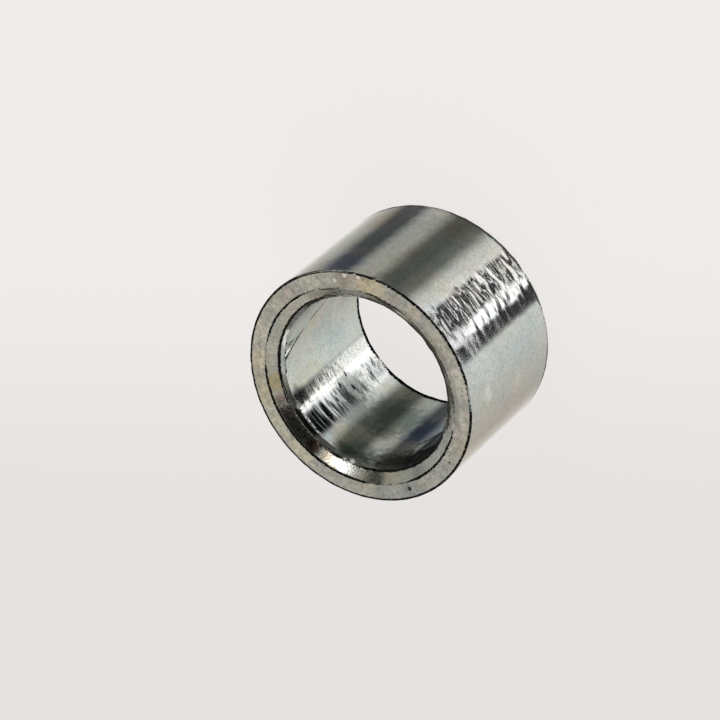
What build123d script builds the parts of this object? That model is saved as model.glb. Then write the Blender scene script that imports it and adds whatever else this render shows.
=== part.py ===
"""Spacer sleeve: one short thick-walled tube of turned, zinc-plated steel.

Lengths are in millimetres.  The origin is the centre of the bottom end face and +Z runs
up the axis of the bore to the top end face.
"""

from build123d import *
import os

# Tube: the bore clears a bolt, the wall stands round it, the length is the spacing
BORE_DIAMETER = 12.5
WALL_THICKNESS = 2.25
LENGTH = 11.0

# Countersink at the mouth of the bore on the faced end, which is the top
COUNTERSINK_WIDTH = 0.75
COUNTERSINK_DEPTH = 0.55

# Steeper lead-in below it, which runs down to the straight bore
LEAD_IN_WIDTH = 0.25
LEAD_IN_DEPTH = 0.30

# Small 45 degree chamfer on the parted-off end, which is the bottom
BOTTOM_CHAMFER = 0.20

# Radius of the broken outer edges, the same at both ends
EDGE_RADIUS = 0.15

BORE_RADIUS = BORE_DIAMETER / 2
OUTER_RADIUS = BORE_RADIUS + WALL_THICKNESS
LEAD_IN_RADIUS = BORE_RADIUS + LEAD_IN_WIDTH
LEAD_IN_HEIGHT = LENGTH - COUNTERSINK_DEPTH


def half_section() -> Face:
    """Return the cut through one wall, on the XZ plane, with the cones at the bore's ends."""
    outline = Polyline(
        (BORE_RADIUS, BOTTOM_CHAMFER),
        (BORE_RADIUS + BOTTOM_CHAMFER, 0),
        (OUTER_RADIUS, 0),
        (OUTER_RADIUS, LENGTH),
        (LEAD_IN_RADIUS + COUNTERSINK_WIDTH, LENGTH),
        (LEAD_IN_RADIUS, LEAD_IN_HEIGHT),
        (BORE_RADIUS, LEAD_IN_HEIGHT - LEAD_IN_DEPTH),
        close=True,
    )
    return make_face(Plane.XZ * outline)


def outer_rims(turned: Part) -> ShapeList:
    """Return the two circles where the outer wall meets the end faces."""
    circles = turned.edges().filter_by(GeomType.CIRCLE)
    return circles.filter_by(lambda rim: rim.radius > OUTER_RADIUS - EDGE_RADIUS)


def spacer_sleeve() -> Part:
    """Return the sleeve, turned about Z, with its outer edges broken."""
    turned = revolve(half_section(), Axis.Z)
    return fillet(outer_rims(turned), EDGE_RADIUS)


os.makedirs("parts", exist_ok=True)
sleeve = spacer_sleeve()
sleeve.label = "spacer_sleeve"
export_step(sleeve, "parts/spacer_sleeve.step")
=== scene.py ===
"""Spacer sleeve of turned, zinc-plated steel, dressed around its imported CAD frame.

Units are metres, unless a name ends in _mm.  +Z runs up the axis of the bore, to the countersunk end.
Angles round the sleeve and bearings round the studio are in degrees about Z, from -Y, which faces the
camera, towards -X.
"""

import logging
import math
from dataclasses import dataclass, field
from enum import Enum

import bpy
from bpy.types import Material, MeshPolygon, Node, NodeSocket, NodeTree, Object
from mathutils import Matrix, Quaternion, Vector

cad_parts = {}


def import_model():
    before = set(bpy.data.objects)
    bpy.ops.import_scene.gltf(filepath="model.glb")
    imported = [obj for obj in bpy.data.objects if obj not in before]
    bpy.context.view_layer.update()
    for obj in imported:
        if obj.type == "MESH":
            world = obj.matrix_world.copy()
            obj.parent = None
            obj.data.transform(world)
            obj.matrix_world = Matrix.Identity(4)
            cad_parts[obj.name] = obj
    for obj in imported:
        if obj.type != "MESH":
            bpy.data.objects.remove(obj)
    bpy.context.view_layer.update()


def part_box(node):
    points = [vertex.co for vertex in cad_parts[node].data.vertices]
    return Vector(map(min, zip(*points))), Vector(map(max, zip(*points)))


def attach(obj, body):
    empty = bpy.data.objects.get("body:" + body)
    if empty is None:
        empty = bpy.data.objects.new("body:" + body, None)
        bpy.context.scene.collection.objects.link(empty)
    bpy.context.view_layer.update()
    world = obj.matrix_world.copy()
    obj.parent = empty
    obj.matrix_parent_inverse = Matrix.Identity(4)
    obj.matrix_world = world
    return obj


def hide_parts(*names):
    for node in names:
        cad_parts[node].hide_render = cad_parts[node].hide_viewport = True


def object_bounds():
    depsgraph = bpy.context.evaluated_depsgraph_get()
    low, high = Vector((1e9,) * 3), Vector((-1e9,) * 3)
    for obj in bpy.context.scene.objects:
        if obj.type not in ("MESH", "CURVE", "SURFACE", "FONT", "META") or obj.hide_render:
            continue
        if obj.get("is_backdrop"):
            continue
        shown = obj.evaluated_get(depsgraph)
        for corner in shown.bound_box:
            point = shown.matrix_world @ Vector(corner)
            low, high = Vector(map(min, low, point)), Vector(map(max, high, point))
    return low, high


MM = 0.001
SLEEVE_NODE = "spacer_sleeve"

# Where something soft-edged starts, is full, is no longer full, and ends
Edges = tuple[float, float, float, float]

log = logging.getLogger("spacer_sleeve")


def linear(hex_colour: str, alpha: float = 1.0) -> tuple[float, float, float, float]:
    """Turn an sRGB hex colour into linear numbers.

    Args:
        hex_colour: six hex digits after a hash.
        alpha: the fourth channel, passed through.

    Returns:
        Linear red, green and blue, and alpha.
    """
    channels = [int(hex_colour[i:i + 2], 16) / 255 for i in (1, 3, 5)]
    bright = [c / 12.92 if c <= 0.04045 else ((c + 0.055) / 1.055) ** 2.4 for c in channels]
    return (*bright, alpha)


def heading(angle_deg: float) -> Vector:
    """Return the level direction at this angle."""
    angle = math.radians(angle_deg)
    return Vector((-math.sin(angle), -math.cos(angle), 0.0))


def direction(bearing_deg: float, climb_deg: float) -> Vector:
    """Return the direction at this bearing and this climb above level."""
    climb = math.radians(climb_deg)
    return heading(bearing_deg) * math.cos(climb) + Vector((0, 0, math.sin(climb)))


class Nodes:
    """Adds nodes to one tree, each with its settings and links."""

    def __init__(self, tree: NodeTree) -> None:
        """Take over a tree and empty it."""
        self.tree = tree
        tree.nodes.clear()

    def add(self, kind: str, inputs: dict | None = None, **settings) -> Node:
        """Add one node.

        Args:
            kind: the node's type name after ShaderNode, such as "Math".
            inputs: for each input, by name or number, a value or the output that feeds it.
            settings: the node's own properties.

        Returns:
            The new node.
        """
        node = self.tree.nodes.new("ShaderNode" + kind)
        for name, value in settings.items():
            setattr(node, name, value)
        for key, value in (inputs or {}).items():
            if isinstance(value, NodeSocket):
                self.tree.links.new(value, node.inputs[key])
            else:
                node.inputs[key].default_value = value
        return node

    def math(self, operation: str, *values: object) -> NodeSocket:
        """Return the output of a Math node that works on these numbers or outputs."""
        return self.add("Math", dict(enumerate(values)), operation=operation).outputs[0]

    def rise(self, value: object, low: float, high: float) -> NodeSocket:
        """Return 0 below low and 1 above high, with a smooth step between; low may be the larger."""
        node = self.add("MapRange", {"Value": value, "From Min": low, "From Max": high},
                        interpolation_type="SMOOTHSTEP")
        return node.outputs["Result"]

    def window(self, value: object, edges: Edges) -> NodeSocket:
        """Return 1 between the two middle edges, with smooth steps down to 0 at the outer two."""
        start, full, full_end, end = edges
        return self.math("MULTIPLY", self.rise(value, start, full), self.rise(value, end, full_end))

    def mix(self, share: object, first: object, second: object, blend: str = "MIX") -> NodeSocket:
        """Return a colour mix: first where share is 0, second where it is 1."""
        node = self.add("Mix", {0: share, 6: first, 7: second}, data_type="RGBA", blend_type=blend)
        return node.outputs[2]


class Surface:
    """The nodes of one material, with each point's place and the noises that its finish shares."""

    def __init__(self, nodes: Nodes, mottle_mm: float, grain_mm: float) -> None:
        """Add the shared nodes.

        Args:
            nodes: the material's nodes.
            mottle_mm: the size of the uneven patches in the plating.
            grain_mm: the size of its finest grain.
        """
        self.nodes = nodes
        self.place = nodes.add("TexCoord").outputs["Object"]
        self.across, self.along, self.height = nodes.add("SeparateXYZ", {0: self.place}).outputs
        self.radius = self.hypotenuse(self.across, self.along)
        self.mottle = self.noise(self.place, 1 / (mottle_mm * MM))
        self.grain = self.noise(self.place, 1 / (grain_mm * MM))

    def hypotenuse(self, first: object, second: object) -> NodeSocket:
        """Return the root of the sum of two squares."""
        squares = [self.nodes.math("MULTIPLY", side, side) for side in (first, second)]
        return self.nodes.math("SQRT", self.nodes.math("ADD", *squares))

    def noise(self, place: object, scale: float, detail: float = 3.0) -> NodeSocket:
        """Return a noise from 0 to 1 whose largest features are about 1 / scale across."""
        return self.nodes.add("TexNoise", {"Vector": place, "Scale": scale, "Detail": detail,
                                           "Roughness": 0.55}).outputs["Fac"]

    def facing(self, angle_deg: float) -> NodeSocket:
        """Return the cosine of each point's angle round the sleeve from this one."""
        reach = self.nodes.add("VectorMath", {0: self.place, 1: heading(angle_deg)},
                               operation="DOT_PRODUCT").outputs["Value"]
        return self.nodes.math("DIVIDE", reach, self.radius)


@dataclass(frozen=True)
class EdgeLine:
    """A circle of painted shade, or of painted highlight, in a corner of the section.

    It is thicker on its heavy side, and nearly gone at the gaps, each a middle and a half-width in degrees.
    """

    radius_mm: float
    height_mm: float
    width_mm: float
    heavy_deg: float = 0.0
    lopsided: float = 0.0
    gaps_deg: tuple[tuple[float, float], ...] = ()
    colour: str = "#161616"
    strength: float = 1.0
    least_weight: float = 0.55
    mottled: float = 0.9
    ragged: float = 2.0
    gap_thinning: float = 0.85

    def cover(self, surface: Surface) -> NodeSocket:
        """Work out the line's ragged shape.

        Args:
            surface: what it lies on.

        Returns:
            How far it covers each point, from 0 to 1.
        """
        nodes = surface.nodes
        away = surface.hypotenuse(nodes.math("SUBTRACT", surface.radius, self.radius_mm * MM),
                                  nodes.math("SUBTRACT", surface.height, self.height_mm * MM))
        weight = nodes.math("MULTIPLY_ADD", surface.facing(self.heavy_deg), self.lopsided, self.least_weight)
        weight = nodes.math("MULTIPLY_ADD", surface.mottle, self.mottled, weight)
        for middle, half in self.gaps_deg:
            gap = nodes.rise(surface.facing(middle), math.cos(math.radians(half + 5)),
                             math.cos(math.radians(half - 3)))
            weight = nodes.math("MULTIPLY", weight, nodes.math("MULTIPLY_ADD", gap, -self.gap_thinning, 1.0))
        width = self.width_mm * MM
        grain = nodes.math("SUBTRACT", surface.grain, 0.5)
        edge = nodes.math("DIVIDE", nodes.math("MULTIPLY_ADD", grain, -self.ragged * width, away), weight)
        return nodes.math("MULTIPLY", nodes.rise(edge, width, 0.6 * width), self.strength)


@dataclass(frozen=True)
class Patch:
    """A tint in the passivate, or a patch of painted shade or highlight laid over it: its place, its spread
    and its colour.

    It is full over the middle third of its spread and has an uneven edge.
    """

    angle_deg: float
    radius_mm: float
    height_mm: float
    spread_mm: float
    colour: str
    strength: float = 0.5
    tallness: float = 1.0

    def centre(self) -> Vector:
        """Return the middle of the patch in metres, with its height squeezed by the tallness."""
        place = heading(self.angle_deg) * self.radius_mm * MM
        place.z = self.height_mm * MM / self.tallness
        return place

    def cover(self, surface: Surface) -> NodeSocket:
        """Work out the patch's uneven shape.

        Args:
            surface: what it lies on.

        Returns:
            How far it covers each point, from 0 to 1.
        """
        nodes = surface.nodes
        squeezed = nodes.add("VectorMath", {0: surface.place, 1: (1.0, 1.0, 1.0 / self.tallness)},
                             operation="MULTIPLY").outputs[0]
        away = nodes.add("VectorMath", {0: squeezed, 1: self.centre()},
                         operation="DISTANCE").outputs["Value"]
        size = self.spread_mm * MM
        uneven = nodes.math("MULTIPLY_ADD", nodes.math("SUBTRACT", surface.mottle, 0.5), -size, away)
        return nodes.math("MULTIPLY", nodes.rise(uneven, size, 0.35 * size), self.strength)


@dataclass(frozen=True)
class ZincFinish:
    """Bright zinc plate with a thin clear passivate, over turned steel.

    The passivate has faint straw and blue-green clouds.  The real grain and turning marks are too
    fine to show, so both are drawn coarser.  Tints colour the metal, some of them as painted shade,
    and overlays and edge lines, mostly painted shade and highlight, hide it.  Specks lie below
    bare_above_mm, and are full below full_below_mm.
    """

    name: str
    plate: str
    straw: str
    cool: str
    roughness: float
    marks_mm: tuple[float, float, float]
    mark_height_mm: float
    speck_mm: float
    speck_height_mm: float
    deep_roughness: float = 0.0
    bare_above_mm: float = 100.0
    full_below_mm: float = 99.0
    mottle: float = 0.10
    grain: float = 0.20
    cloud_mm: float = 2.6
    mottle_mm: float = 0.55
    grain_mm: float = 0.16
    edges: tuple[EdgeLine, ...] = ()
    tints: tuple[Patch, ...] = ()
    overlays: tuple[Patch, ...] = ()

    def material(self) -> Material:
        """Build the procedural material.

        Returns:
            The material, ready for a slot.
        """
        material = bpy.data.materials.new(self.name)
        material.use_nodes = True
        nodes = Nodes(material.node_tree)
        surface = Surface(nodes, self.mottle_mm, self.grain_mm)
        colour, dull = self.hide(surface, self.metal_colour(surface))
        deep = nodes.rise(surface.height, self.bare_above_mm * MM, self.full_below_mm * MM)
        rough = nodes.math("MULTIPLY_ADD", deep, self.deep_roughness, self.roughness)
        rough = nodes.math("MULTIPLY", rough, nodes.math("MULTIPLY_ADD", surface.mottle, 0.8, 0.6))
        bump = nodes.add("Bump", {"Height": self.fine_relief(surface, deep), "Strength": 1.0,
                                  "Distance": MM})
        shader = nodes.add("BsdfPrincipled", {
            "Base Color": colour, "Metallic": nodes.math("SUBTRACT", 1.0, dull), "Roughness": rough,
            "Specular IOR Level": 0.0, "Normal": bump.outputs[0]})
        nodes.add("OutputMaterial", {"Surface": shader.outputs[0]})
        return material

    def metal_colour(self, surface: Surface) -> NodeSocket:
        """Colour the plated metal.

        Args:
            surface: the plated surface.

        Returns:
            The plate's colour, with its clouds, its tints (some of them painted shade), mottle and grain.
        """
        nodes = surface.nodes
        clouds = surface.noise(surface.place, 1 / (self.cloud_mm * MM), 2.0)
        colour = nodes.mix(nodes.rise(clouds, 0.50, 0.70), linear(self.plate), linear(self.straw))
        colour = nodes.mix(nodes.rise(clouds, 0.48, 0.30), colour, linear(self.cool))
        for tint in self.tints:
            colour = nodes.mix(tint.cover(surface), colour, linear(tint.colour))
        patchy = nodes.math("MULTIPLY_ADD", surface.mottle, 2 * self.mottle, 1 - self.mottle)
        grainy = nodes.math("MULTIPLY_ADD", surface.grain, 2 * self.grain, -self.grain)
        shade = nodes.math("ADD", patchy, grainy)
        shades = nodes.add("CombineColor", {0: shade, 1: shade, 2: shade}).outputs[0]
        colour = nodes.mix(1.0, colour, shades, "MULTIPLY")
        drift = nodes.rise(surface.noise(surface.place, 1 / (0.8 * self.mottle_mm * MM), 2.0), 0.3, 0.7)
        return nodes.mix(1.0, colour, nodes.mix(drift, linear("#FFFBFF"), linear("#FBFFFB")), "MULTIPLY")

    def hide(self, surface: Surface, colour: object) -> tuple[object, object]:
        """Lay the overlays and the edge lines, mostly painted shade and highlight, over the metal.

        Args:
            surface: what they lie on.
            colour: the metal's colour.

        Returns:
            The colour that is seen, and how far the metal is hidden, from 0 to 1.
        """
        hidden = 0.0
        for layer in (*self.overlays, *self.edges):
            cover = layer.cover(surface)
            colour = surface.nodes.mix(cover, colour, linear(layer.colour))
            hidden = surface.nodes.math("MAXIMUM", hidden, cover)
        return colour, hidden

    def fine_relief(self, surface: Surface, deep: object) -> NodeSocket:
        """Raise the turning marks, sized out from, round and along Z, and the specks.

        Args:
            surface: the turned surface.
            deep: the specks' share at each point.

        Returns:
            The height of the relief, in millimetres.
        """
        nodes = surface.nodes
        out, round_z, up = (1 / (size * MM) for size in self.marks_mm)
        drawn = nodes.add("CombineXYZ", {
            0: nodes.math("MULTIPLY", surface.across, round_z),
            1: nodes.math("MULTIPLY", surface.along, round_z),
            2: nodes.math("ADD", nodes.math("MULTIPLY", surface.radius, out),
                          nodes.math("MULTIPLY", surface.height, up))}).outputs[0]
        marks = nodes.math("MULTIPLY", surface.noise(drawn, 1.0), self.mark_height_mm)
        specks = surface.noise(surface.place, 1 / (self.speck_mm * MM), 2.0)
        specks = nodes.math("MULTIPLY", specks, self.speck_height_mm)
        return nodes.math("MULTIPLY_ADD", specks, deep, marks)


class Zone(Enum):
    """The surfaces of the turned section, in the order of the material slots."""

    WALL = 0
    FACE = 1
    COUNTERSINK = 2
    BORE = 3


@dataclass(frozen=True)
class Relief:
    """Shallow ridges on the two walls: their grain, height, share on each wall and rougher side.

    They are full near the line through the axis at facing_deg, and fade to the share elsewhere at
    the flank, a sine of the angle from it.  In the bore they fade downwards, out at fades_at_mm.
    """

    name: str
    round_mm: float
    up_mm: float
    height_mm: float
    wall_share: float = 1.0
    bore_share: float = 0.13
    facing_deg: float = 4.5
    flank: float = 0.22
    flank_fade: float = 0.09
    elsewhere: float = 0.15
    octaves: int = 1
    fades_at_mm: float = -3.0
    fade_mm: float = 3.0
    run_in_mm: float = 0.25

    def share_at(self, place: Vector) -> float:
        """Return the ridges' share at this angle round the sleeve."""
        aside = abs(place.dot(heading(self.facing_deg + 90))) / math.hypot(place.x, place.y)
        full = min(1.0, max(0.0, (self.flank - aside) / self.flank_fade))
        return self.elsewhere + (1 - self.elsewhere) * full

    def depth_share(self, height: float) -> float:
        """Return the ridges' share at this height in the bore."""
        return min(1.0, max(0.0, (height / MM - self.fades_at_mm) / self.fade_mm))


@dataclass(frozen=True)
class Pit:
    """A small dent in the surface: where it is, how far it spreads and how deep it goes."""

    angle_deg: float
    radius_mm: float
    height_mm: float
    spread_mm: float
    depth_mm: float

    def centre(self) -> Vector:
        """Return the middle of the pit in metres."""
        place = heading(self.angle_deg) * self.radius_mm * MM
        place.z = self.height_mm * MM
        return place


@dataclass
class SpacerSleeve:
    """The sleeve itself: one section, spun about Z."""

    outer_radius: float
    length: float
    bore_radius: float = 6.25 * MM
    countersink_width: float = 0.75 * MM
    countersink_depth: float = 0.55 * MM
    lead_in_width: float = 0.25 * MM
    lead_in_depth: float = 0.30 * MM
    bottom_chamfer: float = 0.20 * MM
    edge_radius: float = 0.15 * MM
    corner_radius: float = 0.05 * MM
    segments: int = 192
    wall_step: float = 0.055 * MM
    bore_step: float = 0.080 * MM
    face_step: float = 0.12 * MM
    edge_wear: float = 0.10 * MM
    wear_grain: float = 0.6 * MM
    merge_within: float = 0.001 * MM
    on_wall: float = 0.02 * MM
    on_end: float = 0.01 * MM
    mouth_margin: float = 0.05 * MM
    reliefs: tuple[Relief, ...] = (
        Relief("turning_waves", 1.7, 1.05, 0.070),
        Relief("tool_chatter", 0.8, 0.32, 0.005, octaves=0),
        Relief("bore_lines", 2.6, 0.24, 0.0040, wall_share=0.0, bore_share=1.0, fades_at_mm=4.0),
    )
    piece: Object | None = field(default=None, repr=False)

    def build(self) -> Object:
        """Model the sleeve and dress it.

        Returns:
            The finished mesh object, at the origin.
        """
        self.piece = self.draw_section()
        self.spin_section()
        for relief in self.reliefs:
            self.press(relief)
        self.wear_edges()
        for pit in self.pits():
            self.dent(pit)
        self.dress()
        return self.piece

    def foot_radius(self) -> float:
        """Return the radius at the foot of the countersink, where the lead-in starts."""
        return self.bore_radius + self.lead_in_width

    def foot_height(self) -> float:
        """Return the height of the foot of the countersink."""
        return self.length - self.countersink_depth

    def mouth_radius(self) -> float:
        """Return the radius at which the countersink opens in the end face."""
        return self.foot_radius() + self.countersink_width

    def bore_top(self) -> float:
        """Return the height at which the straight bore ends."""
        return self.foot_height() - self.lead_in_depth

    def corners(self) -> list[tuple[float, float, float]]:
        """Return the section's corners as (radius, height, rounding), round the wall's outline."""
        return [
            (self.outer_radius, 0.0, self.edge_radius),
            (self.outer_radius, self.length, self.edge_radius),
            (self.mouth_radius(), self.length, self.corner_radius),
            (self.foot_radius(), self.foot_height(), self.corner_radius),
            (self.bore_radius, self.bore_top(), self.corner_radius),
            (self.bore_radius, self.bottom_chamfer, self.corner_radius),
            (self.bore_radius + self.bottom_chamfer, 0.0, self.corner_radius),
        ]

    def outline(self) -> list[Vector]:
        """Draw the closed section in the XZ plane, corners rounded and flats divided.

        Returns:
            Points in order, the first not repeated.
        """
        corners = [(Vector((radius, 0, height)), rounding) for radius, height, rounding in self.corners()]
        count = len(corners)
        arcs = []
        for i, (corner, rounding) in enumerate(corners):
            before = (corners[i - 1][0] - corner).normalized()
            after = (corners[(i + 1) % count][0] - corner).normalized()
            half = before.angle(after) / 2
            reach = rounding / math.tan(half)
            centre = corner + (before + after).normalized() * rounding / math.sin(half)
            start = (corner + before * reach - centre).normalized()
            end = (corner + after * reach - centre).normalized()
            steps = 6 if rounding == self.edge_radius else 3
            arcs.append([centre + start.slerp(end, k / steps) * rounding for k in range(steps + 1)])
        points = []
        for i, arc in enumerate(arcs):
            points += arc
            points += self.divided(arc[-1], arcs[(i + 1) % count][0])
        return points

    def divided(self, start: Vector, end: Vector) -> list[Vector]:
        """Divide a flat of the section, finely where it is a wall, and hold its ends crisp.

        Args:
            start: the end of the arc before it.
            end: the start of the arc after it.

        Returns:
            The points between them.
        """
        flat = (end - start).length
        step = self.face_step
        if abs(end.x - start.x) < 1e-9:
            step = self.wall_step if start.x > self.bore_radius + 1e-6 else self.bore_step
        cuts = max(2, round(flat / step))
        support = 0.02 * MM / flat
        shares = [support, *(k / cuts for k in range(1, cuts)), 1 - support]
        return [start.lerp(end, share) for share in shares]

    def draw_section(self) -> Object:
        """Draw the section by extruding one vertex round the outline.

        Returns:
            An object that holds a closed loop of edges.
        """
        points = self.outline()
        bpy.ops.mesh.primitive_plane_add(size=self.corner_radius, location=(0, 0, 0))
        piece = bpy.context.active_object
        piece.name = piece.data.name = "sleeve"
        bpy.ops.object.mode_set(mode="EDIT")
        bpy.ops.mesh.merge(type="CENTER")
        bpy.ops.transform.translate(value=points[0])
        for start, end in zip(points, points[1:] + points[:1]):
            bpy.ops.mesh.extrude_region_move(TRANSFORM_OT_translate={"value": end - start})
        bpy.ops.mesh.select_all(action="SELECT")
        bpy.ops.mesh.remove_doubles(threshold=self.merge_within)
        return piece

    def spin_section(self) -> None:
        """Turn the section about Z into a closed ring, with its faces outwards."""
        bpy.ops.mesh.select_all(action="SELECT")
        bpy.ops.mesh.spin(steps=self.segments, angle=math.tau, center=(0, 0, 0), axis=(0, 0, 1))
        bpy.ops.mesh.select_all(action="SELECT")
        bpy.ops.mesh.remove_doubles(threshold=self.merge_within)
        bpy.ops.mesh.normals_make_consistent(inside=False)
        bpy.ops.object.mode_set(mode="OBJECT")
        bpy.ops.object.shade_smooth()

    def press(self, relief: Relief) -> None:
        """Push the two walls in and out by a noise that is drawn out round the part.

        Args:
            relief: the ridges to press in.
        """
        weights = {}
        for vertex in self.piece.data.vertices:
            radius, height = math.hypot(vertex.co.x, vertex.co.y), vertex.co.z
            if radius > self.outer_radius - self.on_wall:
                share, low, high = relief.wall_share, self.edge_radius, self.length - self.edge_radius
            elif radius < self.bore_radius + self.on_wall:
                share, low, high = relief.bore_share, self.bottom_chamfer, self.bore_top()
                share *= relief.depth_share(height)
            else:
                continue
            inside = min(height - low, high - height) / (relief.run_in_mm * MM)
            weights[vertex.index] = min(1.0, inside) * share * relief.share_at(vertex.co)
        stretch = (relief.round_mm * MM, relief.round_mm * MM, relief.up_mm * MM)
        self.displace(relief.name, weights, relief.height_mm * MM, stretch, relief.octaves)

    def wear_edges(self) -> None:
        """Make the corners of the section slightly uneven."""
        rims = [(radius, height) for radius, height, _ in self.corners()]
        reach = 1.2 * self.edge_radius
        weights = {}
        for vertex in self.piece.data.vertices:
            radius = math.hypot(vertex.co.x, vertex.co.y)
            away = min(math.hypot(radius - r, vertex.co.z - z) for r, z in rims)
            weights[vertex.index] = 1 - away / reach
        self.displace("edge_wear", weights, self.edge_wear, (self.wear_grain,) * 3)

    def pits(self) -> tuple[Pit, ...]:
        """Return the dents in the faced end, the countersink and the rim."""
        top = self.length / MM
        return (
            Pit(108.0, 7.72, top, 0.15, 0.10), Pit(109.2, 7.84, top, 0.13, 0.08),
            Pit(77.0, 7.87, top, 0.11, 0.05), Pit(99.0, 6.95, top - 0.40, 0.12, 0.06),
            Pit(-34.0, 8.42, top, 0.22, 0.09), Pit(-30.5, 8.40, top, 0.16, 0.07),
            Pit(-44.0, 8.40, top, 0.20, 0.05), Pit(224.0, 8.42, top, 0.16, 0.05),
        )

    def dent(self, pit: Pit) -> None:
        """Refine the mesh round a pit and sink it.

        Args:
            pit: the pit to sink.
        """
        centre, reach = pit.centre(), pit.spread_mm * MM
        bpy.ops.object.mode_set(mode="EDIT")
        bpy.ops.mesh.select_mode(type="FACE")
        bpy.ops.mesh.select_all(action="DESELECT")
        bpy.ops.object.mode_set(mode="OBJECT")
        for face in self.piece.data.polygons:
            face.select = (face.center - centre).length < 2.0 * reach
        bpy.ops.object.mode_set(mode="EDIT")
        bpy.ops.mesh.subdivide(number_cuts=3)
        bpy.ops.object.mode_set(mode="OBJECT")
        weights = {}
        for vertex in self.piece.data.vertices:
            away = (vertex.co - centre).length / (1.5 * reach)
            weights[vertex.index] = (1 - away * away) ** 2 if away < 1 else 0.0
        self.displace("pit", weights, -pit.depth_mm * MM)

    def displace(self, name: str, weights: dict[int, float], strength: float,
                 stretch: tuple[float, float, float] | None = None, octaves: int = 1) -> None:
        """Move the surface along its normals.

        Args:
            name: names the group, the modifier and the texture.
            weights: each vertex's share from 0 to 1; less counts as 0.
            strength: how far a full share moves outwards.
            stretch: the noise's grain along each axis, or None for a plain push.
            octaves: the noise's depth.
        """
        group = self.piece.vertex_groups.new(name=name)
        for index, weight in weights.items():
            if weight > 0:
                group.add([index], weight, "REPLACE")
        displace = self.piece.modifiers.new(name, "DISPLACE")
        displace.strength = strength
        displace.direction = "NORMAL"
        displace.vertex_group = group.name
        displace.mid_level = 0.0
        bpy.ops.object.select_all(action="DESELECT")
        bpy.ops.object.empty_add(location=(0, 0, 0))
        grid = bpy.context.active_object
        if stretch is not None:
            grid.scale = stretch
            bpy.context.view_layer.update()
            noise = bpy.data.textures.new(name, "CLOUDS")
            noise.noise_scale = 1.0
            noise.noise_depth = octaves
            displace.texture = noise
            displace.texture_coords = "OBJECT"
            displace.texture_coords_object = grid
            displace.mid_level = 0.5
        bpy.ops.object.select_all(action="DESELECT")
        bpy.context.view_layer.objects.active = self.piece
        self.piece.select_set(True)
        bpy.ops.object.modifier_apply(modifier=displace.name)
        bpy.data.objects.remove(grid)
        self.piece.vertex_groups.clear()

    def dress(self) -> None:
        """Give each zone of the section its finish."""
        for finish in (self.wall_finish(), self.face_finish(), self.countersink_finish(), self.bore_finish()):
            self.piece.data.materials.append(finish.material())
        for face in self.piece.data.polygons:
            face.material_index = self.zone_of(face).value

    def zone_of(self, face: MeshPolygon) -> Zone:
        """Tell which surface of the section a face of the mesh belongs to.

        Args:
            face: a face of the finished mesh.

        Returns:
            Its zone, from the place of its middle.
        """
        radius, height = math.hypot(face.center.x, face.center.y), face.center.z
        if radius > self.outer_radius - self.edge_radius * 0.5:
            return Zone.WALL
        level = height > self.length - self.on_end or height < self.on_end
        if level or radius > self.mouth_radius() + self.mouth_margin:
            return Zone.FACE
        if radius < self.foot_radius() - self.on_wall:
            return Zone.BORE
        return Zone.COUNTERSINK

    def rim_line(self) -> EdgeLine:
        """Return the painted shade on the outer rim of the faced end."""
        return EdgeLine(self.outer_radius / MM - 0.02, self.length / MM - 0.05, 0.095, lopsided=0.10,
                        gaps_deg=((-60, 12), (38, 4)))

    def face_line(self) -> EdgeLine:
        """Return the painted shade in the corner between the faced end and the countersink."""
        return EdgeLine(self.mouth_radius() / MM, self.length / MM, 0.105, heavy_deg=150, lopsided=0.20,
                        gaps_deg=((120, 12), (234, 7), (-57, 17), (14, 27), (50, 8)))

    def foot_lines(self) -> tuple[EdgeLine, EdgeLine]:
        """Return the painted shade at the foot of the countersink, and the painted highlight that takes over
        from it.
        """
        place = (self.foot_radius() / MM, self.foot_height() / MM)
        # Painted shade at the foot, and a painted highlight round 186 degrees where the shade thins.
        return (EdgeLine(*place, 0.115, heavy_deg=210, lopsided=0.20,
                         gaps_deg=((-58, 13), (55, 12), (146, 5), (185, 13))),
                EdgeLine(*place, 0.045, gaps_deg=((6, 153),), colour="#C9C2BA", strength=0.8))

    def wall_finish(self) -> ZincFinish:
        """Finish the outer wall: bright, with pale iridescent tints, and painted shade along the rim of the
        faced end and along the far rim.

        Returns:
            The finish of the wall.
        """
        outside = self.outer_radius / MM
        # Painted shade along the lower, far rim, heaviest at -40 degrees.
        far_rim = EdgeLine(outside, 0.17, 0.18, heavy_deg=-40, lopsided=0.30, colour="#241F1E", strength=0.75,
                           gaps_deg=((-43, 6), (10, 5), (36, 9)))
        tints = tuple(Patch(angle, outside, *rest) for angle, *rest in (
            (-66, 10.2, 1.4, "#C4AEA9"), (-56, 9.6, 1.9, "#99A6C4", 0.55), (-57, 6.0, 2.0, "#ABBDAC"),
            (-62, 2.2, 2.2, "#C8B3A2"), (-48, 1.0, 1.8, "#EEE8E6", 0.7), (11, 10.0, 2.2, "#86878A", 0.6),
            (-28, 1.8, 1.3, "#CDBBA8", 0.45), (-31, 6.3, 0.9, "#C3AFA6", 0.3),
            (44, 8.6, 0.9, "#E6EAEA", 0.7), (52, 4.6, 1.0, "#E4DDD9", 0.6), (-20, 6.0, 1.8, "#BCC6C1"),
            (30, 8.4, 2.0, "#D2D6D6"), (38, 3.0, 2.0, "#C0C6CA"), (66, 6.0, 3.0, "#CFC6C1", 0.5, 2.0),
        ))
        return ZincFinish("zinc_plated_wall", "#CFCFCC", "#CFCCC4", "#C8CDCD", roughness=0.075,
                          marks_mm=(1.0, 0.9, 0.10), mark_height_mm=0.0008, speck_mm=0.12,
                          speck_height_mm=0.0012, mottle=0.18, grain=0.42, edges=(self.rim_line(), far_rim),
                          tints=tints)

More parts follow.
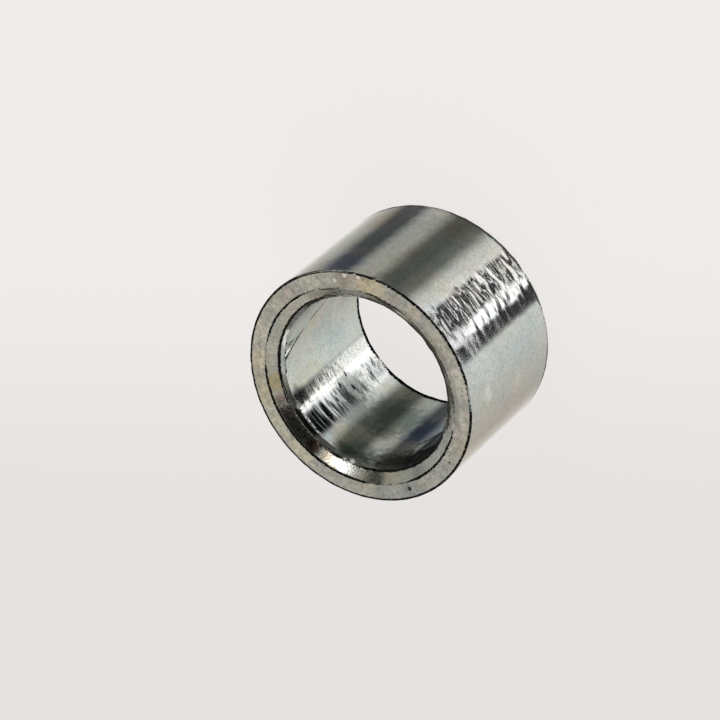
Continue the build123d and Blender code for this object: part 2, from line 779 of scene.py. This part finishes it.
    def face_finish(self) -> ZincFinish:
        """Finish the two end faces: matte, with straw and grey tints, painted shade in the pits, pale flecks,
        and painted shade along the edges.

        Returns:
            The finish of the faces.
        """
        top = self.length / MM
        # Painted shade just inside the outer rim of the faced end, heaviest at 180 degrees.
        rim_inside = EdgeLine(self.outer_radius / MM - 0.10, top, 0.095, heavy_deg=180, lopsided=0.75)
        # Painted shade on the face along the mouth of the countersink, heaviest at 15 degrees.
        far_mouth = EdgeLine(self.mouth_radius() / MM, top, 0.36, heavy_deg=15, lopsided=0.20,
                             gaps_deg=((200, 143),), colour="#4A453C", strength=0.5)
        tints = tuple(Patch(angle, radius, top, *rest) for angle, radius, *rest in (
            (8, 7.9, 1.4, "#D6D6CE", 0.6), (30, 7.9, 1.3, "#F3F1EA", 0.7), (50, 7.9, 0.9, "#F0EDE4", 0.6),
            (84, 7.9, 1.0, "#C2C6C8", 0.7), (107, 7.9, 1.6, "#B3BCBF", 0.8),
            (124, 7.9, 1.2, "#BBC3C3", 0.8), (174, 7.9, 1.5, "#F2EDD8", 0.7),
            (192, 7.9, 1.3, "#EAE8DA", 0.7), (209, 7.9, 1.2, "#E6DFC9", 0.8),
            (228, 7.9, 1.4, "#EEE6D2", 0.7), (243, 7.9, 1.4, "#EFECE0", 0.7),
            (264, 7.9, 0.9, "#E2E0D4", 0.5), (276, 7.9, 0.8, "#D6CBC6", 0.5),
            (290, 7.9, 0.9, "#EEEBDF", 0.6), (309, 7.9, 0.9, "#B2ACA0", 0.7),
            (326, 7.9, 1.5, "#E9DCC0", 0.65), (338, 7.8, 0.7, "#B9AEA4", 0.4),
            (350, 7.9, 0.9, "#E6E0D2", 0.5),
        ))
        # Painted shade in the pits, and pale flecks near the pits.
        pit_shade_and_pale_flecks = tuple(Patch(angle, radius, top, *rest) for angle, radius, *rest in (
            (108.4, 7.77, 0.25, "#161616", 0.95), (77, 7.87, 0.17, "#161616", 0.8),
            (311, 8.2, 0.22, "#F4F1E6", 0.7), (305, 7.8, 0.24, "#F4F1E6", 0.6),
            (318, 8.3, 0.20, "#F4F1E6", 0.7),
        ))
        return ZincFinish("zinc_plated_faced_end", "#D4D2CF", "#D6CFC5", "#CCCFCF", roughness=0.34,
                          marks_mm=(0.34, 0.15, 1.0), mark_height_mm=0.006, speck_mm=0.14,
                          speck_height_mm=0.006, mottle=0.55, mottle_mm=0.42, grain=0.55,
                          edges=(far_mouth, self.rim_line(), rim_inside, self.face_line()), tints=tints,
                          overlays=pit_shade_and_pale_flecks)

    def countersink_finish(self) -> ZincFinish:
        """Finish the countersink: satin, with painted dark reflections on the side away from the camera and
        near it, and painted shade and highlight along its edges.

        Returns:
            The finish of the countersink.
        """
        radius, height = 6.9, self.length / MM - 0.3
        # Painted dark reflection at the foot of the countersink, round 10 degrees.
        far_foot = EdgeLine(self.foot_radius() / MM, self.foot_height() / MM, 0.42, gaps_deg=((190, 128),),
                            colour="#1E1A18", strength=0.9)
        # Tints of the passivate, partly painted reflection: the browns and tans darken and warm the lamp's
        # highlight at its ends.
        tints = tuple(Patch(angle, radius, height + lift, *rest) for angle, lift, *rest in (
            (215, 0, 0.9, "#C9BB88", 0.7), (236, 0, 0.9, "#E0DFDA", 0.6), (128, 0, 0.9, "#6C7671", 0.7),
            (98, 0, 0.9, "#B0B5BA", 0.7), (155, 0, 0.8, "#D9CFB4", 0.5), (171, 0, 0.8, "#54392E", 0.9),
            (162, -0.05, 0.5, "#CDBD9A", 0.6), (204, 0, 0.55, "#8A6C62", 0.6),
            (287, 0, 1.0, "#A6A399", 0.7), (196, 0.1, 0.5, "#B29AA0", 0.6), (340, 0, 1.6, "#C2B4A8", 0.6),
        ))
        # Painted shade in the pit at 99 degrees, painted lighter reflections at 55, 316 and 345 degrees, and
        # a painted dark reflection round 8 degrees.
        overlays = (
            Patch(99, 6.95, height - 0.1, 0.20, "#161616", 0.9), Patch(55, radius, height, 2.0, "#B9B8AF"),
            Patch(316, radius, height, 1.9, "#A8A49B", 0.4), Patch(8, radius, height, 3.6, "#2A2522", 0.9),
            Patch(345, radius, height, 0.8, "#D2CCBF", 0.6),
        )
        return ZincFinish("zinc_plated_countersink", "#D0D0CB", "#D0CBB9", "#C2C8C5", roughness=0.17,
                          marks_mm=(0.10, 0.30, 1.0), mark_height_mm=0.003, speck_mm=0.16,
                          speck_height_mm=0.008, mottle=0.34, mottle_mm=0.30, grain=0.35,
                          edges=(self.face_line(), *self.foot_lines(), far_foot), tints=tints, overlays=overlays)

    def bore_finish(self) -> ZincFinish:
        """Finish the bore and its lead-in: the brightest, with tints that are partly painted shade, painted
        dark and grey reflections, painted dark streaks, painted glints and painted shade along its edges.

        Returns:
            The finish of the bore.
        """
        top, bore = self.length / MM, self.bore_radius / MM
        # Painted shade along the lower edge of the bore, heaviest at 140 degrees.
        far_edge = EdgeLine(bore, self.bottom_chamfer / MM + 0.08, 0.21, heavy_deg=140, lopsided=0.50,
                            gaps_deg=((182, 4),))
        # Tints of the passivate, partly painted shade: the dark greys and blues dim the bore's reflection.
        tints = tuple(Patch(angle, bore, *rest) for angle, *rest in (
            (155, 9.6, 0.9, "#5F7065", 0.8), (118, 4.9, 2.5, "#4E688F", 0.85),
            (148, 4.0, 3.0, "#7A8886", 0.85), (164, 8.4, 1.5, "#A39A82", 0.6),
            (147, 8.9, 1.3, "#7E9088", 0.7), (171, 6.0, 2.4, "#868C8A", 0.85),
            (145, 6.2, 1.2, "#7D8585", 0.7), (106, 6.6, 1.7, "#445462", 0.75),
            (243, 1.8, 1.6, "#B3B6B4", 0.7), (205, 8.8, 1.6, "#CBC8B4"), (179, 9.4, 1.6, "#6E7274", 0.8),
            (183.5, 8.2, 1.2, "#6E7274", 0.6), (200.5, 9.6, 1.0, "#5E6262", 0.85),
        ))
        # Painted dark reflections in the bore's mouth and lead-in, a painted shadow beside the foot at 265
        # degrees, and a painted grey reflection at 181 degrees.
        painted_bore_shade = (
            Patch(117, bore, 9.9, 3.1, "#1F2622", 0.92), Patch(95, bore, 9.6, 3.2, "#1F2422", 0.95),
            Patch(76, bore, 9.8, 2.8, "#1F2422", 0.92),
            Patch(147, bore + 0.12, top - 0.72, 1.8, "#3E4842", 0.75),
            Patch(265, bore + 0.1, 10.2, 1.6, "#6E6A70", 0.55), Patch(181, bore, 4.5, 1.9, "#A6AFAF", 0.58),
        )
        # Painted dark streaks in the lamp's reflection in the bore.
        painted_dark_streaks = tuple(Patch(angle, bore, height, spread, "#24282A", 0.9, tallness)
                          for angle, height, spread, tallness in (
            (183, 6.4, 0.34, 0.4), (188.5, 5.3, 0.34, 0.4), (191.5, 4.2, 0.3, 0.4), (182, 4.3, 0.4, 0.5),
        ))
        # Painted glints at the bore's mouth.
        painted_glints = (
            Patch(146, bore + 0.17, top - 0.65, 0.29, "#FFFFFF", 1.0),
            Patch(151.3, bore + 0.25, top - 0.56, 0.20, "#FFFFFF", 1.0),
            Patch(195, bore, 10.0, 0.30, "#FFFFFF", 0.95),
        )
        return ZincFinish("zinc_plated_bore", "#D2D4D0", "#D0CDC1", "#C4CCCC", roughness=0.05,
                          marks_mm=(1.0, 0.8, 0.14), mark_height_mm=0.0004, speck_mm=0.50,
                          speck_height_mm=0.003, deep_roughness=0.02, mottle=0.22, grain=0.40,
                          bare_above_mm=8.6, full_below_mm=3.5, edges=(*self.foot_lines(), far_edge),
                          tints=tints, overlays=(*painted_bore_shade, *painted_dark_streaks, *painted_glints))


@dataclass(frozen=True)
class Card:
    """One upright card of the ring: the bearings at which its colour is set, and the colours."""

    what: str
    stops: tuple[tuple[float, str], ...]


@dataclass(frozen=True)
class Disc:
    """A round flag, which blocks the light, or a small card: its place, its radius and its colour."""

    what: str
    bearing_deg: float
    climb_deg: float
    radius_deg: float
    colour: str
    blur_deg: float = 4.0

    def mask(self, nodes: Nodes, way: object) -> NodeSocket:
        """Return 1 where a view in this direction meets the disc, and 0 beside it."""
        outer, inner = self.radius_deg + self.blur_deg / 2, self.radius_deg - self.blur_deg / 2
        near = nodes.add("VectorMath", {0: way, 1: direction(self.bearing_deg, self.climb_deg)},
                         operation="DOT_PRODUCT").outputs["Value"]
        return nodes.rise(near, math.cos(math.radians(outer)), math.cos(math.radians(inner)))


@dataclass(frozen=True)
class Opening:
    """A soft-edged part of the lamp: its edges across, in bearing, and upright from the lamp's middle."""

    across: Edges
    upright: Edges
    share: float = 1.0

    def mask(self, nodes: Nodes, bearing: object, off: object) -> NodeSocket:
        """Return the share inside the opening, and 0 outside it."""
        inside = nodes.math("MULTIPLY", nodes.window(bearing, self.across), nodes.window(off, self.upright))
        return nodes.math("MULTIPLY", inside, self.share)


@dataclass(frozen=True)
class LouvredLamp:
    """The lamp that the metal sees: a leaning core, a wide glow just above it, and louvres.

    The wall mirrors the core in a grey surround, and the bore the glow under a black hood.  Ridges
    tilt the mirror past the core's edges and tear its image.  Each side of the core starts and is
    full at these bearings, less its lean for each degree upwards.  The glow widens downwards.
    """

    level: float = 2.2
    climb_deg: float = -50.6
    core_sides: tuple[tuple[float, float, float], ...] = ((17, 22, -1.6), (33, 28, 0.8))
    core_upright: Edges = (-2.5, -1.5, 2.6, 3.6)
    glow_peak_deg: float = 2.7
    glow_bearing_deg: float = 21.5
    glow_flare: float = 32.0
    glow_power: float = 1.4
    glow_edge: tuple[float, float] = (7, -1)
    glow_frame: Opening = Opening((-20, -10, 43, 50), (0.85, 1.05, 14, 20), 0.8)
    louvres: tuple[Opening, ...] = (
        Opening((-16, -6, 24, 30), (5.0, 6.4, 14, 20), 0.65),
        Opening((-16, -6, 24, 30), (-90, -89, -4.2, -3.1), 0.65),
        Opening((-14, -8, 45, 50), (8, 11, 14, 20), 0.8),
        Opening((-14, -8, 45, 50), (-90, -89, -9, -7), 0.8),
    )
    surround: Opening = Opening((-9, -5, 44, 50), (-3.6, -2.6, 0.8, 1.5), 0.9)
    surround_colour: str = "#303135"
    hood: Opening = Opening((-20, -11, 41, 48), (1.7, 2.7, 6, 9))
    hood_colour: str = "#0E0F11"

    def hang(self, nodes: Nodes, bearing: object, climb: object, ring: object) -> NodeSocket:
        """Hang the lamp, with its surround and its hood, in front of the ring of cards.

        Args:
            nodes: the world's nodes.
            bearing: where the view points, in degrees.
            climb: its climb above level, in degrees.
            ring: the colour of the ring there.

        Returns:
            The colour that is seen.
        """
        off = nodes.math("SUBTRACT", climb, self.climb_deg)
        behind = nodes.mix(self.surround.mask(nodes, bearing, off), ring, linear(self.surround_colour))
        behind = nodes.mix(self.hood.mask(nodes, bearing, off), behind, linear(self.hood_colour))
        shine = nodes.math("MAXIMUM", self.core(nodes, bearing, off), self.glow(nodes, bearing, off))
        for louvre in self.louvres:
            shine = nodes.math("MAXIMUM", shine, louvre.mask(nodes, bearing, off))
        return nodes.mix(shine, behind, (self.level, self.level, self.level, 1.0))

    def core(self, nodes: Nodes, bearing: object, off: object) -> NodeSocket:
        """Shape the lamp's core.

        Args:
            nodes: the world's nodes.
            bearing: where the view points, in degrees.
            off: degrees above the lamp's middle.

        Returns:
            1 in the core and 0 beside it.
        """
        core = nodes.window(off, self.core_upright)
        for start, full, lean in self.core_sides:
            leaning = nodes.math("MULTIPLY_ADD", off, lean, bearing)
            core = nodes.math("MULTIPLY", core, nodes.rise(leaning, start, full))
        return core

    def glow(self, nodes: Nodes, bearing: object, off: object) -> NodeSocket:
        """Shape the glow, a tent that stands on the middle of the lamp.

        Args:
            nodes: the world's nodes.
            bearing: where the view points, in degrees.
            off: degrees above the lamp's middle.

        Returns:
            The glow's share in the tent and 0 beside it.
        """
        below = nodes.math("MAXIMUM", nodes.math("SUBTRACT", self.glow_peak_deg, off), 0.0)
        aside = nodes.math("ABSOLUTE", nodes.math("SUBTRACT", bearing, self.glow_bearing_deg))
        half = nodes.math("POWER", below, self.glow_power)
        past_edge = nodes.math("MULTIPLY_ADD", half, -self.glow_flare, aside)
        return nodes.math("MULTIPLY", nodes.rise(past_edge, *self.glow_edge),
                          self.glow_frame.mask(nodes, bearing, off))


@dataclass
class Studio:
    """A pale table, and a ring of cards, a louvred lamp and a dark screen that only the metal sees."""

    table_half: float = 0.6
    table_colour: str = "#F1EEEC"
    shaded_table_colour: str = "#E7E4E3"
    table_shade_deg: float = -57.3
    table_shade: tuple[float, float] = (-0.017, 0.006)
    table_glow: float = 0.9
    dome_colour: str = "#BFBCB2"
    dull_dome_colour: str = "#AFAEA6"
    dull_dome_across: Edges = (-150, -130, -65, -45)
    dome_edge_deg: tuple[float, float] = (10, 26)
    screen_colour: str = "#5A5955"
    screen_side_deg: tuple[float, float] = (75, 40)
    screen_upright: Edges = (-34, -29, 36, 48)
    backdrop_side_deg: tuple[float, float] = (150, 172)
    backdrop_top_deg: tuple[float, float] = (20, 5)
    backdrop_mirrored: float = 0.5
    lamp: LouvredLamp = LouvredLamp()
    discs: tuple[Disc, ...] = (
        Disc("black flag overhead", 10, 56, 20, "#161514"),
        Disc("black flag above the camera", 8, 29, 15, "#1A1918"),
        Disc("grey flag on the right", -88, 38, 7, "#4A4D4B"),
        Disc("white card on the left", 97, 8, 9, "#FFFFFF"),
        Disc("small white card beside the lamp", 66, -43.5, 3.5, "#FFFFFF"),
    )
    ring: tuple[Card, ...] = (
        Card("backdrop", ((-180, "#E6E5E0"), (-164, "#E9E8E3"))),
        Card("grey card", ((-148, "#CCCBC4"), (-130, "#ACABA4"))),
        Card("black flag", ((-117, "#5C5C5E"), (-100, "#54575A"))),
        Card("grey card", ((-88, "#B2B4AF"), (-74, "#B4B5AC"))),
        Card("dark curtain", ((-62, "#62645D"), (-50, "#5F625B"), (-36, "#7E7F79"))),
        Card("white card", ((-25, "#E6E8E2"), (-12, "#FFFFFC"))),
        Card("lamp surround", ((-5, "#2B2C31"), (30, "#232428"), (41.5, "#55575B"))),
        Card("white wall", ((50.5, "#EEF1ED"), (70, "#E6E9E4"), (100, "#D5D4CC"))),
        Card("warm wall", ((132, "#C6C0B7"),)),
        Card("backdrop", ((160, "#DFDAD1"), (180, "#E6E3DC"))),
    )

    def build(self) -> None:
        """Make the table, the world and the lamps."""
        self.lay_table()
        self.hang_cards()
        self.place_lamps()

    def lay_table(self) -> None:
        """Lay the table top that the sleeve stands on."""
        bpy.ops.mesh.primitive_plane_add(size=2 * self.table_half, location=(0, 0, 0))
        table = bpy.context.active_object
        table.name = "table_top"
        material = bpy.data.materials.new("pale_table")
        material.use_nodes = True
        nodes = Nodes(material.node_tree)
        place = nodes.add("TexCoord").outputs["Object"]
        up_frame = nodes.add("VectorMath", {0: place, 1: heading(self.table_shade_deg)},
                             operation="DOT_PRODUCT").outputs["Value"]
        colour = nodes.mix(nodes.rise(up_frame, *self.table_shade), linear(self.shaded_table_colour),
                           linear(self.table_colour))
        matte = nodes.add("BsdfDiffuse", {"Color": linear(self.table_colour)})
        glow = nodes.add("Emission", {"Color": colour, "Strength": 1.0})
        sight = nodes.add("LightPath").outputs["Is Camera Ray"]
        share = nodes.math("MULTIPLY", sight, self.table_glow)
        seen = nodes.add("MixShader", {0: share, 1: matte.outputs[0], 2: glow.outputs[0]})
        nodes.add("OutputMaterial", {"Surface": seen.outputs[0]})
        table.data.materials.append(material)
        table.visible_glossy = False
        table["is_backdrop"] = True

    def hang_cards(self) -> None:
        """Build the world: the pale backdrop, and the cards, lamp and screen that the metal sees."""
        world = bpy.data.worlds.new("studio")
        world.use_nodes = True
        bpy.context.scene.world = world
        nodes = Nodes(world.node_tree)
        way = nodes.add("TexCoord").outputs["Generated"]
        x, y, z = nodes.add("SeparateXYZ", {0: way}).outputs
        turn = nodes.math("ARCTAN2", nodes.math("MULTIPLY", x, -1.0), nodes.math("MULTIPLY", y, -1.0))
        bearing = nodes.math("DEGREES", turn)
        away = nodes.math("ABSOLUTE", bearing)
        climb = nodes.math("DEGREES", nodes.math("ARCSINE", z))

        room = self.lamp.hang(nodes, bearing, climb, self.ring_colour(nodes, bearing))
        ceiling = nodes.mix(nodes.window(bearing, self.dull_dome_across), linear(self.dome_colour),
                            linear(self.dull_dome_colour))
        room = nodes.mix(nodes.rise(climb, *self.dome_edge_deg), room, ceiling)
        screen = nodes.math("MULTIPLY", nodes.rise(away, *self.screen_side_deg),
                            nodes.window(climb, self.screen_upright))
        room = nodes.mix(screen, room, linear(self.screen_colour))
        for disc in self.discs:
            room = nodes.mix(disc.mask(nodes, way), room, linear(disc.colour))

        path = nodes.add("LightPath")
        backdrop = nodes.math("MULTIPLY", nodes.rise(away, *self.backdrop_side_deg),
                              nodes.rise(climb, *self.backdrop_top_deg))
        mirrored = nodes.math("MULTIPLY", path.outputs["Is Glossy Ray"],
                              nodes.math("MULTIPLY", backdrop, self.backdrop_mirrored))
        sight = nodes.math("MAXIMUM", path.outputs["Is Camera Ray"], mirrored)
        seen = nodes.mix(sight, room, linear(self.table_colour))
        ground = nodes.add("Background", {"Color": seen, "Strength": 1.0})
        nodes.add("OutputWorld", {"Surface": ground.outputs[0]})

    def ring_colour(self, nodes: Nodes, bearing: object) -> NodeSocket:
        """Hang the ring of cards.

        Args:
            nodes: the world's nodes.
            bearing: where the view points, in degrees.

        Returns:
            The ring's colour there.
        """
        ring = nodes.add("ValToRGB", {"Fac": nodes.math("MULTIPLY_ADD", bearing, 1 / 360, 0.5)})
        ramp = ring.color_ramp
        ramp.interpolation = "LINEAR"
        stops = [stop for card in self.ring for stop in card.stops]
        for place, _ in stops[1:-1]:
            ramp.elements.new(place / 360 + 0.5)
        for element, (place, colour) in zip(ramp.elements, stops):
            element.position = place / 360 + 0.5
            element.color = linear(colour)
        return ring.outputs["Color"]

    def place_lamps(self) -> None:
        """Hang the soft lamp that the countersink catches, and a broad fill that it doesn't."""
        key = self.softbox("key_softbox", direction(-55, 51), distance=0.40, size=0.11, power=0.095)
        fill = self.softbox("fill_softbox", direction(120, 75), distance=0.60, size=0.50, power=1.5)
        key.visible_camera = fill.visible_camera = False
        fill.visible_glossy = False

    def softbox(self, name: str, towards: Vector, distance: float, size: float,
                power: float) -> Object:
        """Hang a square lamp that faces the sleeve.

        Args:
            name: the lamp's name.
            towards: the direction to it from the origin.
            distance: how far it is.
            size: the square's side.
            power: in watts.

        Returns:
            The lamp's object.
        """
        bpy.ops.object.light_add(type="AREA", location=towards * distance)
        lamp = bpy.context.active_object
        lamp.name = name
        lamp.rotation_mode = "QUATERNION"
        lamp.rotation_quaternion = towards.to_track_quat("Z", "Y")
        lamp.data.shape = "SQUARE"
        lamp.data.size = size
        lamp.data.energy = power
        return lamp


@dataclass
class Viewpoint:
    """The camera: a long lens, well above the sleeve, rolled so that the bore faces down and left."""

    tilt_deg: float = 41.0
    roll_deg: float = -130.38
    distance: float = 240.9 * MM
    lens_mm: float = 181.3
    right_of_face: float = 0.043 * MM
    above_face: float = 1.775 * MM
    below_face: float = 0.09 * MM
    clip_start: float = 10 * MM

    def build(self, face_centre: Vector) -> Object:
        """Place the camera.

        Args:
            face_centre: the middle of the upper end face.

        Returns:
            The camera's object, which is now the scene's.
        """
        tilt = math.radians(self.tilt_deg)
        back = Vector((0, -math.sin(tilt), math.cos(tilt)))
        turn = back.to_track_quat("Z", "Y") @ Quaternion((0, 0, 1), math.radians(self.roll_deg))
        right, up = turn @ Vector((1, 0, 0)), turn @ Vector((0, 1, 0))
        anchor = face_centre - Vector((0, 0, self.below_face))
        place = anchor + back * self.distance + right * self.right_of_face + up * self.above_face
        bpy.ops.object.camera_add(location=place)
        camera = bpy.context.active_object
        camera.rotation_mode = "QUATERNION"
        camera.rotation_quaternion = turn
        camera.data.lens = self.lens_mm
        camera.data.sensor_width = 36.0
        camera.data.clip_start = self.clip_start
        bpy.context.scene.camera = camera
        return camera


def main() -> None:
    """Load the frame, build the sleeve and the studio around it, and measure both boxes."""
    logging.basicConfig(level=logging.INFO, format="%(name)s: %(message)s")
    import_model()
    bpy.ops.object.select_all(action="DESELECT")
    bpy.context.scene.view_settings.view_transform = "Standard"

    low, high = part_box(SLEEVE_NODE)
    sleeve = SpacerSleeve(outer_radius=(high.x - low.x) / 2, length=high.z - low.z)
    piece = sleeve.build()
    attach(piece, "root")
    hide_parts(SLEEVE_NODE)
    log.info("%s has %d faces", piece.name, len(piece.data.polygons))

    Studio().build()
    Viewpoint().build(Vector((0, 0, high.z)))

    low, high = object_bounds()


if __name__ == "__main__":
    main()
